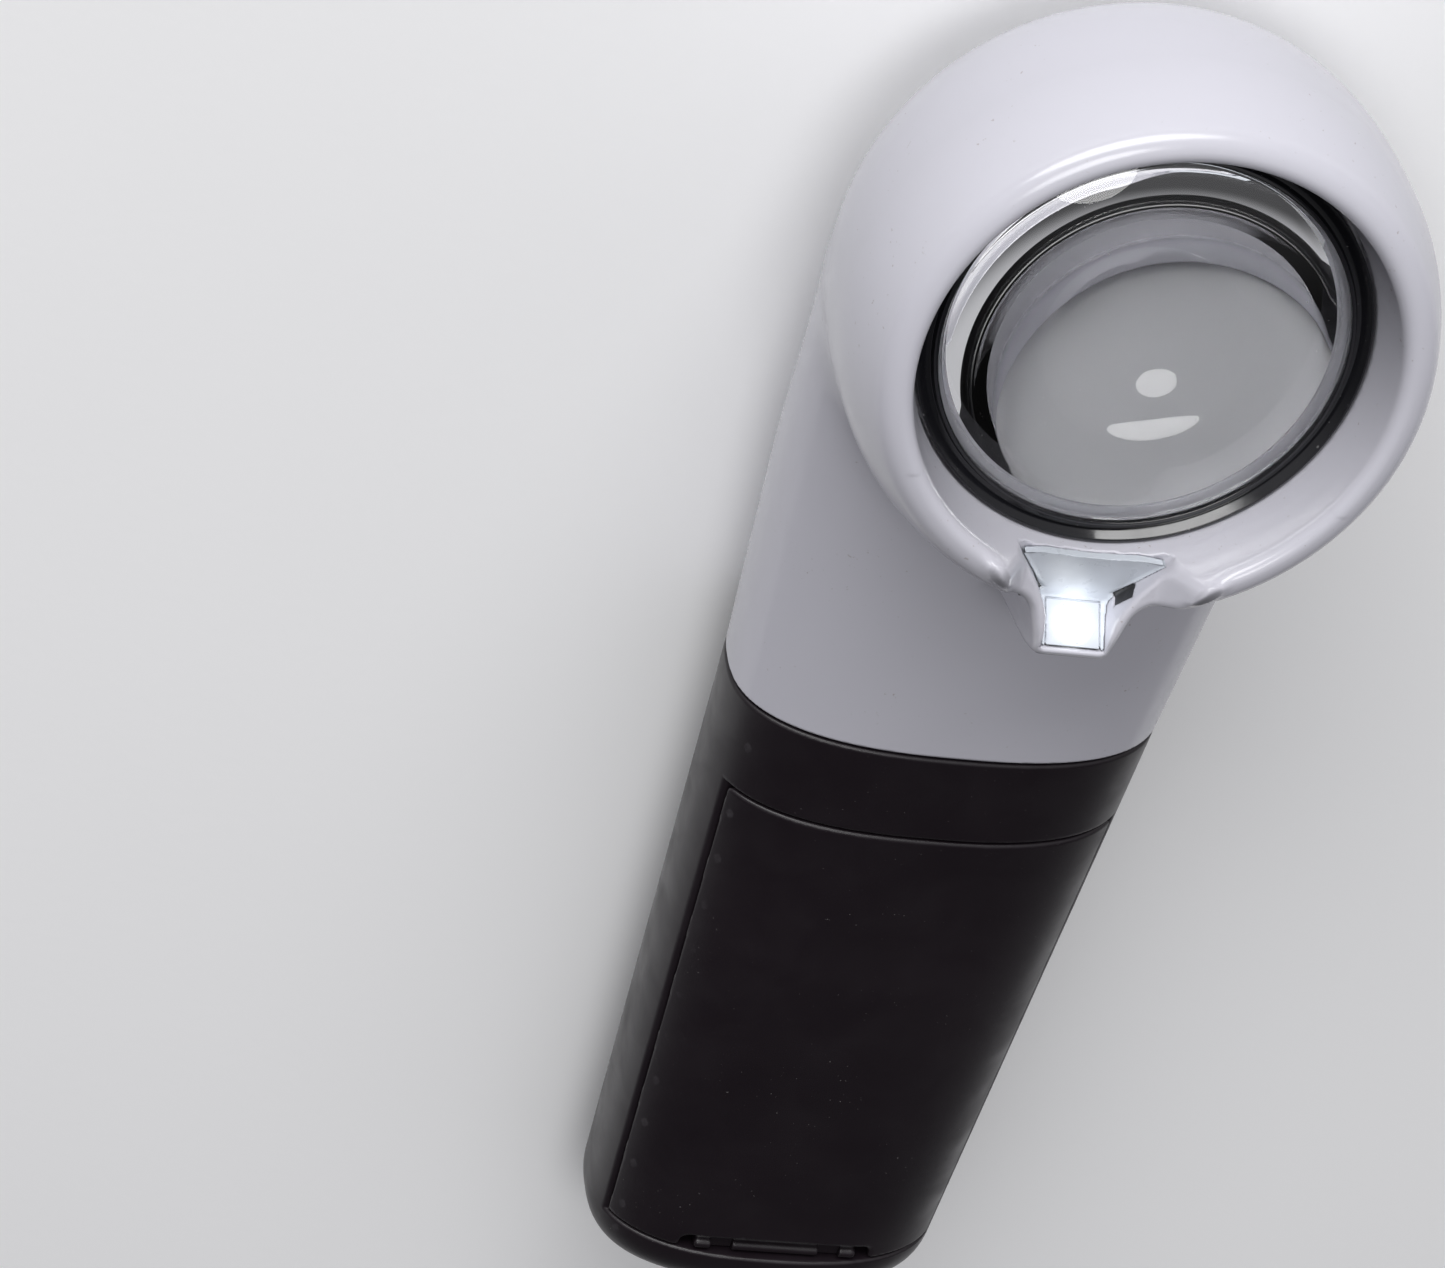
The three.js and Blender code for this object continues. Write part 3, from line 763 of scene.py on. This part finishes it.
def bore(radius, z):
    """What is cut from the head round its axis: page-side recess, eye tube and cover seat."""
    recess = np.maximum(radius - recess_wall(z), -LENS_BACK - GAP - z)
    tube_hole = radius - TUBE_RADIUS
    seat_top = z + HEAD_DEPTH - COVER_SEAT
    seat = within(radius - COVER_RADIUS - 0.1, seat_top, -HEAD_DEPTH - EYE_WELL - z)
    return np.minimum(np.minimum(recess, tube_hole), seat)


def spout(across, y, z):
    """The lamp spout's outside, down to its foot inside the neck."""
    cheeks = meet(across - spout_width(y), SPOUT_START - y, 0.5)
    chin = meet(side_of(SPOUT_LIP, y, z), side_of(SPOUT_CHIN, y, z), 1.2)
    return np.maximum(meet(cheeks, chin, 0.9), SPOUT_FOOT - z)


def trough(across, y, z, sunk=0.0):
    """The scoop in front of the lamp, its floor sunk by that much."""
    ramp = side_of(RAMP, y, z) - RAMP_HOLLOW * across ** 2 + sunk
    panel = side_of(PANEL, y, z) + sunk
    floor = meet(-ramp, -panel, 0.4)
    return meet(floor, (across - trough_width(y)) * 0.8, 0.5)


def notch(across, y, z):
    """The dip in the rim above the spout."""
    start, length = CREST_SPAN
    shoulder = smooth_step((across - NOTCH_HALF_WIDTH) / NOTCH_SHOULDER)
    top = CREST + (NOTCH_CLEARANCE - CREST) * shoulder + CREST_RISE * smooth_step((y - start) / length)
    return np.maximum((top - z) * 0.65, NOTCH_START - y)


def filter_slot(across, y, z):
    """A slot in each cheek of the trough, set along its wall and reaching well behind it."""
    along = SLOT_ALONG / np.linalg.norm(SLOT_ALONG)
    wall = np.cross(along, SLOT_UP)
    wall /= np.linalg.norm(wall)
    up = np.cross(wall, along)
    offset = [value - centre for value, centre in zip((across, y, z), SLOT_CENTRE)]
    turned_to = [sum(part * way for part, way in zip(offset, axis)) for axis in (along, wall, up)]
    return block(*turned_to, SLOT_SIZE)


def slot_shade_sheet(x, s, z):
    """Painted shade: thin dark sheets just below the mouths of both filter slots, lining their walls to
    stand in for the shade inside the slots.
    """
    across = np.abs(x)
    y, up = head_frame(s, z)
    return np.maximum(filter_slot(across, y, up) - 0.04, 0.12 - trough(across, y, up))


def screw_post(x, s, z):
    """Both posts for the neck screws, each with a web to the neck's side."""
    across = np.abs(x)
    length = np.abs(s - POST_MIDDLE) - POST_HALF_LENGTH
    post = np.maximum(rod(across - POST_X, z - POST_Z, POST_RADIUS), length)
    web = block(across - 16, s - 46, z - POST_Z, (4.4, 6, 2.1))
    return join(post, web, 0.8)


def head_distance(x, s, z):
    """Head, neck and spout as one moulding."""
    across = np.abs(x)
    y, up = head_frame(s, z)
    radius = np.hypot(x, y)
    body = meet(cup(radius, up), up, RIM_ROUND)
    outer = bar(x, s, z)
    neck = meet(meet(outer, s - SEAM + GAP / 2), NECK_START - s)
    hollow = np.maximum(outer + WALL, NECK_HOLLOW_START - s)
    neck = np.where(s > NECK_HOLLOW_START - 6, cut(neck, hollow), neck)
    body = join(body, neck, 3.0)
    body = join(body, spout(across, y, up), 1.3)
    body = join(body, screw_post(x, s, z), 0.4)
    body = cut(body, notch(across, y, up), 0.9)
    body = cut(body, bore(radius, up), 1.2)
    body = cut(body, trough(across, y, up), 0.35)
    pocket = np.maximum(trough(across, y, up, PLATE + 0.06), y - PANEL_END - 0.2)
    body = cut(body, pocket, 0.1)
    body = cut(body, filter_slot(across, y, up), 0.15)
    lamp_y, lamp_up = lamp_frame(y, up)
    body = cut(body, block(x, lamp_y + 0.35, lamp_up + 1.1, (2.4, 2.15, 1.4)), 0.1)
    screw_hole = np.maximum(rod(across - POST_X, z - POST_Z, 1.4), 50 - s)
    return cut(body, screw_hole, 0.1)


def reflector_distance(x, s, z):
    """The trough's insert, with a round window for the dome and a fine frame round it."""
    across = np.abs(x)
    y, up = head_frame(s, z)
    plate = np.maximum(trough(across + 0.05, y, up, PLATE), -trough(across, y, up))
    plate = within(plate, recess_wall(up) - np.hypot(x, y) + 0.02, y - PANEL_END)
    lamp_y, lamp_up = lamp_frame(y, up)
    window = rod(x, lamp_y + GAP, DOME_RADIUS + 0.12)
    frame_line = np.abs(block(x, lamp_y + 0.1, 0, (2.5, 2.35, 3))) - 0.05
    frame_line = np.maximum(frame_line, -0.08 - lamp_up)
    plate = cut(plate, window, 0.1)
    return cut(cut(plate, frame_line, 0.05), filter_slot(across, y, up), 0.1)


# ------------------------------------------------------------------ handle

def handle_distance(x, s, z):
    """The handle's moulding: battery bay, collar in the neck, switch well and screw holes."""
    across = np.abs(x)
    outer = bar(x, s, z)
    body = meet(outer, s - HANDLE_END, END_ROUND)
    body = meet(body, SEAM + GAP / 2 - s, 0.45)
    body = cut(body, within(DOOR_SPLIT - z, GROOVE - s, s - DOOR_END), 0.4)
    body = cut(body, within(outer + WALL, BAY[0] - s, s - BAY[1]), 0.3)
    collar = within(outer + WALL + GAP, COLLAR_START - s, s - SEAM - 1)
    body = join(body, collar, 0.1)
    body = cut(body, np.maximum(outer + COLLAR_WALL, s - GROOVE + 0.1), 0.2)
    switch_well = within(across - 4.6, np.abs(s - 64.55) - 4.35, z - 1.8)
    body = cut(body, switch_well, 0.35)
    stem_slot = within(across - 1.5, np.abs(s - 64.2) - 2.9, z - 6)
    body = cut(body, stem_slot, 0.15)
    bulkhead = np.abs(s - GROOVE + 0.3) - 3.3
    screw_hole = np.maximum(rod(across - POST_X, z - POST_Z, 1.45), bulkhead)
    wire_hole = np.maximum(rod(across - 8.4, z - 14.4, 0.9), bulkhead)
    return cut(body, np.minimum(screw_hole, wire_hole), 0.15)


def door_distance(x, s, z):
    """The battery door, with the finger scoop in its end and two ribs inside."""
    across = np.abs(x)
    outer = bar(x, s, z)
    shell = cut(outer, outer + DOOR_THICKNESS, 0.1)
    shell = meet(shell, DOOR_SPLIT + GAP - z, 0.3)
    shell = meet(meet(shell, GROOVE + GAP - s, 0.45), s - DOOR_END + GAP, 0.4)
    scoop = meet(across - 9.7, 127.3 + 0.009 * across ** 2 - s, 1.2)
    rib = within(np.abs(across - 14.5) - 0.5, outer + 0.5, -outer - 3.0)
    rib = within(rib, np.abs(s - 100) - 24, 17.2 - z)
    return join(cut(shell, scoop, 0.5), rib, 0.3)


def latch_distance(x, s, z):
    """The latch's tab in the finger recess, with a rounded ridge along its edge."""
    across = np.abs(x)
    body = meet(np.abs(s - LATCH_S) - 0.85, np.abs(z - LATCH_Z) - 1.25, 0.3)
    ridge = rod(s - LATCH_S - 0.25, z - LATCH_Z - 1.45, 0.55)
    body = join(body, ridge, 0.5)
    nick = np.maximum(np.abs(across - 5.5) - 1.1, LATCH_Z + 1.3 - z)
    return cut(meet(body, across - 8.3, 0.5), nick, 0.2)


def knob_distance(x, s, z):
    """The switch's slider: a ridged plate on a stem."""
    across = np.abs(x)
    along = s - KNOB_S
    plate = meet(np.abs(along) - 2.6, across - 4.2, 0.6)
    plate = meet(plate, np.abs(z - KNOB_Z) - 0.48, 0.4)
    to_ridge = (along + RIDGE_PITCH / 2) % RIDGE_PITCH - RIDGE_PITCH / 2
    ridges = within(rod(to_ridge, z - KNOB_Z + 0.31, 0.42), np.abs(along) - 1.9, across - 3.6)
    plate = join(plate, ridges, 0.25)
    stem = block(x, along + 0.05, z - 2.6, (1.1, 0.85, 1.5))
    return join(plate, stem, 0.2)


# ------------------------------------------------------------------ pieces

def around(node, room=ROOM):
    """The space a CAD node takes, in x, s and z, with some room."""
    low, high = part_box(node)
    low = [c / MM - room for c in low]
    high = [c / MM + room for c in high]
    low[1] -= AXIS_Y
    high[1] -= AXIS_Y
    return low, high


def make_head():
    piece = moulded("head_shell", head_distance, *around("head_housing"), WHITE)
    settle(piece, BODY, "white_plastic", "head_housing")
    space = around("led_reflector", 1.0)
    piece = moulded("spout_reflector", reflector_distance, *space, REFLECTOR, 0.4 * STEP)
    settle(piece, BODY, "white_plastic", "led_reflector")
    # painted shade: dark sheets just inside both filter slots' walls, standing in for the shade in the
    # slots
    piece = moulded("filter_slot_shade_sheets", slot_shade_sheet, *space, CHIP, SHADE_SHEET_STEP)
    settle(piece, BODY, "chip_black")
    top = COVER_SEAT - 0.2 - HEAD_DEPTH
    inside = TUBE_RADIUS + 0.2
    trim = rounded([(inside, top, 0), (inside, top - 1.7, 0.8),
                    (COVER_RADIUS, top - 1.8, 1.0), (COVER_RADIUS, top, 0)])
    piece = turned("rear_trim", trim, head_place, WHITE)
    sharpen(piece)
    settle(piece, BODY, "white_plastic", "rear_cover")


def cap(radius, sag, base, way, steps=28):
    """Profile of a spherical lens face, from its middle to its edge."""
    curve = (radius ** 2 + sag ** 2) / (2 * sag)
    profile = []
    for i in range(steps + 1):
        r = radius * i / steps
        profile.append((r, base + way * (math.sqrt(curve ** 2 - r ** 2) - curve + sag)))
    return profile


def make_lens():
    front = cap(*FRONT_FACE, -LENS_FRONT, 1)
    rear = cap(*REAR_FACE, -LENS_BACK, -1)
    flange_top = -LENS_FRONT - FLANGE_DROP
    flange = [(FRONT_FACE[0], flange_top), (LENS_RADIUS, flange_top), (LENS_RADIUS, -LENS_BACK)]
    piece = turned("lens_glass", front + flange + rear[::-1], head_place, GLASS, closed=False)
    sharpen(piece, 25)
    settle(piece, BODY, "lens_clear", "lens")
    profile = rounded([
        (RING_RADIUS, -LENS_BACK, 0.1), (RING_RADIUS, -RING_DEPTH, 0.12),
        (RING_RADIUS - 0.25, -RING_DEPTH, 0.1), (19.0, -7.15, 0.1), (18.55, -7.1, 0.1),
        (LENS_RADIUS, -6.5, 0.12), (18.0, -6.35, 0.1), (18.0, -7.0, 0.1),
        (LENS_RADIUS + GAP, -7.25, 0.05), (LENS_RADIUS + GAP, -LENS_BACK, 0.1),
    ])
    piece = turned("lens_ring", profile, head_place, GLOSS, 256)
    sharpen(piece, 30)
    settle(piece, BODY, "ring_black", "lens_retaining_ring")


def make_lamp():
    board = softened("led_base", (-2.1, -2.2, -1.95), (2.1, 1.5, -1.4), lamp_place, LED_WHITE, 0.08)
    settle(board, BODY, "led_white", "led_board")
    package = softened("led_block", (-1.7, -2.0, -1.1), (1.7, 1.4, -0.3), lamp_place, LED_WHITE, 0.12)
    settle(package, BODY, "led_white", "led_package")
    dome = []
    for angle in np.linspace(0, math.pi / 2, 14):
        dome.append((DOME_RADIUS * math.sin(angle), DOME_HEIGHT * math.cos(angle)))
    dome += [(DOME_RADIUS, -DOME_SKIRT), (0, -DOME_SKIRT)]

    def place(x, y, z):
        return lamp_place(x, y - GAP, z)

    piece = turned("led_lens", dome, place, GLOW, 64, closed=False)
    sharpen(piece, 50)
    settle(piece, BODY, "led_glow", "led_dome")


def make_handle():
    """The handle and its three moving pieces."""
    piece = moulded("handle_shell", handle_distance, *around("handle_body"), BLACK)
    settle(piece, BODY, "handle_black", "handle_body")
    piece = moulded("door_shell", door_distance, *around("battery_door"), BLACK)
    settle(piece, "door", "handle_black", "battery_door")
    piece = moulded("latch_tab", latch_distance, *around("door_latch"), BLACK, 0.35 * STEP)
    settle(piece, "latch", "handle_black", "door_latch")
    piece = moulded("switch_slider", knob_distance, *around("switch_knob"), BLACK, 0.35 * STEP)
    settle(piece, "switch", "handle_black", "switch_knob")


def make_cell(node, start, way):
    """An AA cell along the handle: rolled jacket edge, steel ends and a nub."""
    low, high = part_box(node)
    x = (low.x + high.x) / 2 / MM
    z = (low.z + high.z) / 2 / MM
    length = CELL_LENGTH
    tip = CELL_LENGTH + CELL_NUB
    profile = rounded([
        (0, 0, 0), (4.4, 0, 0.3), (4.9, 0.35, 0.2), (6.5, 0.35, 0.1), (6.7, 0.1, 0.2),
        (CELL_RADIUS, 0.2, 0.5), (CELL_RADIUS, length - 0.3, 0.5), (6.7, length, 0.2),
        (6.3, length - 0.5, 0.2), (3.0, length - 0.3, 0.3), (2.7, tip, 0.35), (0, tip, 0),
    ], closed=False)

    def place(a, b, c):
        return (x + a, AXIS_Y + start + way * c, z + b)

    piece = turned(node + "_cell", profile, place, JACKET, 96, closed=False)
    piece.data.materials.append(CONTACT)
    for face in piece.data.polygons:
        r = math.hypot(face.center.x / MM - x, face.center.z / MM - z)
        if r < JACKET_EDGE:
            face.material_index = 1
    sharpen(piece, 40)
    settle(piece, BODY, "cell_jacket", node)


def make_spring(node, start, end, steps=56):
    """A conical contact spring between two places along the handle."""
    low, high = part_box(node)
    x = (low.x + high.x) / 2 / MM
    foot, tip = COIL_RADII
    path = []
    for i in range(steps + 1):
        t = i / steps
        angle = 2 * math.pi * COIL_TURNS * t
        radius = foot - (foot - tip) * t
        y = AXIS_Y + start + (end - start) * t
        path.append((x + radius * math.cos(angle), y, CELL_Z + radius * math.sin(angle)))
    settle(tube(node + "_coil", path, COIL_WIRE, CONTACT), BODY, "contact_steel", node)


def as_placed(x, y, z):
    return (x, y, z)


def make_plate(node):
    """A contact plate that fills its node's box."""
    low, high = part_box(node)
    low = [c / MM for c in low]
    high = [c / MM for c in high]
    piece = softened(node + "_strip", low, high, as_placed, CONTACT, 0.15)
    settle(piece, BODY, "contact_steel", node)


def dress_cad_nodes():
    """The CAD nodes that stay, with eased edges and a finish of their own."""
    finishes = {
        "led_lead_red": RED_WIRE, "led_lead_black": BLACK_WIRE, "driver_board": GREEN,
        "driver_chip": CHIP, "driver_inductor": CHIP, "driver_capacitor": TAN, "slide_switch": CONTACT,
        "neck_screw_left": SCREW, "neck_screw_right": SCREW,
        "battery_lead_red": RED_WIRE, "battery_lead_black": BLACK_WIRE,
    }
    for node, finish in finishes.items():
        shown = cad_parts[node]
        shown.data.materials.clear()
        shown.data.materials.append(finish)
        if "lead" not in node:
            easing = shown.modifiers.new("edges", "BEVEL")
            easing.width = 0.08 * MM
            easing.segments = 2
            easing.limit_method = "ANGLE"


make_head()
make_lens()
make_lamp()
make_handle()
make_cell("battery_left", 77.4, 1)
make_cell("battery_right", 123.2, -1)
make_spring("contact_spring_left", 72.9, 76.7)
make_spring("contact_spring_right", 127.8, 123.9)
for plate in ("contact_plate_left", "contact_plate_right", "bridge_plate"):
    make_plate(plate)
dress_cad_nodes()


# ------------------------------------------------------------------ floor, light and camera

FLOOR_HALF = 4.0
FLOOR_DROP = 0.00002


def make_floor():
    """A plain square floor, in metres, just below the object."""
    corners = [(x * FLOOR_HALF, y * FLOOR_HALF, 0) for x, y in ((-1, -1), (1, -1), (1, 1), (-1, 1))]
    mesh = bpy.data.meshes.new("floor")
    mesh.from_pydata(corners, [], [(0, 1, 2, 3)])
    floor = bpy.data.objects.new("floor", mesh)
    floor.location.z = -FLOOR_DROP
    bpy.context.scene.collection.objects.link(floor)
    mesh.materials.append(pale_floor())


def softbox(name, at, aim, size, power):
    """An elliptical soft light turned towards aim."""
    light = bpy.data.lights.new(name, "AREA")
    light.shape = "ELLIPSE"
    light.size, light.size_y = size
    light.energy = power
    lamp = bpy.data.objects.new(name, light)
    lamp.location = at
    lamp.rotation_mode = "QUATERNION"
    lamp.rotation_quaternion = (Vector(aim) - Vector(at)).to_track_quat("-Z", "Y")
    bpy.context.scene.collection.objects.link(lamp)


HORIZON_STRENGTH = 0.22
SKY_STRENGTH = (0.55, 0.06)      # above the head's side and above the handle's end


def make_world():
    """Soft studio surroundings: bright towards the head's side, dim above the handle."""
    world = bpy.data.worlds.new("studio")
    world.use_nodes = True
    tree = world.node_tree
    back = tree.nodes["Background"]
    back.inputs["Color"].default_value = (0.94, 0.94, 0.98, 1)
    coordinates = tree.nodes.new("ShaderNodeTexCoord")
    direction = tree.nodes.new("ShaderNodeSeparateXYZ")
    tree.links.new(coordinates.outputs["Generated"], direction.inputs["Vector"])
    above = mapped(tree, direction.outputs["Y"], -0.5, 0.35, *SKY_STRENGTH, how="SMOOTHSTEP")
    height = mapped(tree, direction.outputs["Z"], 0.06, 0.42, 0, 1, how="SMOOTHSTEP")
    mix = tree.nodes.new("ShaderNodeMix")
    tree.links.new(height, mix.inputs["Factor"])
    mix.inputs["A"].default_value = HORIZON_STRENGTH
    tree.links.new(above, mix.inputs["B"])
    tree.links.new(mix.outputs["Result"], back.inputs["Strength"])
    bpy.context.scene.world = world


def make_lights():
    centre = (0, -0.01, 0.02)
    softbox("key", (0.22, -0.95, 0.42), centre, (1.1, 0.45), 9.6)
    softbox("top", (0.12, -0.50, 0.95), centre, (0.45, 0.35), 2.7)
    bpy.context.scene.view_settings.view_transform = "Standard"


# The photograph's viewing angle: from the head's side, turned so that the handle points down.
AZIMUTH = math.radians(20.39)
ELEVATION = math.radians(45.04)
ROLL = math.radians(-170.54)
AIM = Vector((0.02517, -0.00866, 0.020))
DISTANCE = 0.585
LENS = 162.08
SENSOR = 36


def make_camera():
    level_part = math.cos(ELEVATION)
    ahead = Vector((-math.sin(AZIMUTH) * level_part, math.cos(AZIMUTH) * level_part, -math.sin(ELEVATION)))
    level = ahead.cross(Vector((0, 0, 1))).normalized()
    up = level.cross(ahead) * math.cos(ROLL) + level * math.sin(ROLL)
    right = ahead.cross(up)
    turn = Matrix((right, up, -ahead)).transposed().to_4x4()
    data = bpy.data.cameras.new("camera")
    data.lens = LENS
    data.sensor_width = SENSOR
    data.clip_start = 0.01
    camera = bpy.data.objects.new("camera", data)
    camera.matrix_world = Matrix.Translation(AIM - ahead * DISTANCE) @ turn
    bpy.context.scene.collection.objects.link(camera)
    bpy.context.scene.camera = camera


make_floor()
make_world()
make_lights()
make_camera()
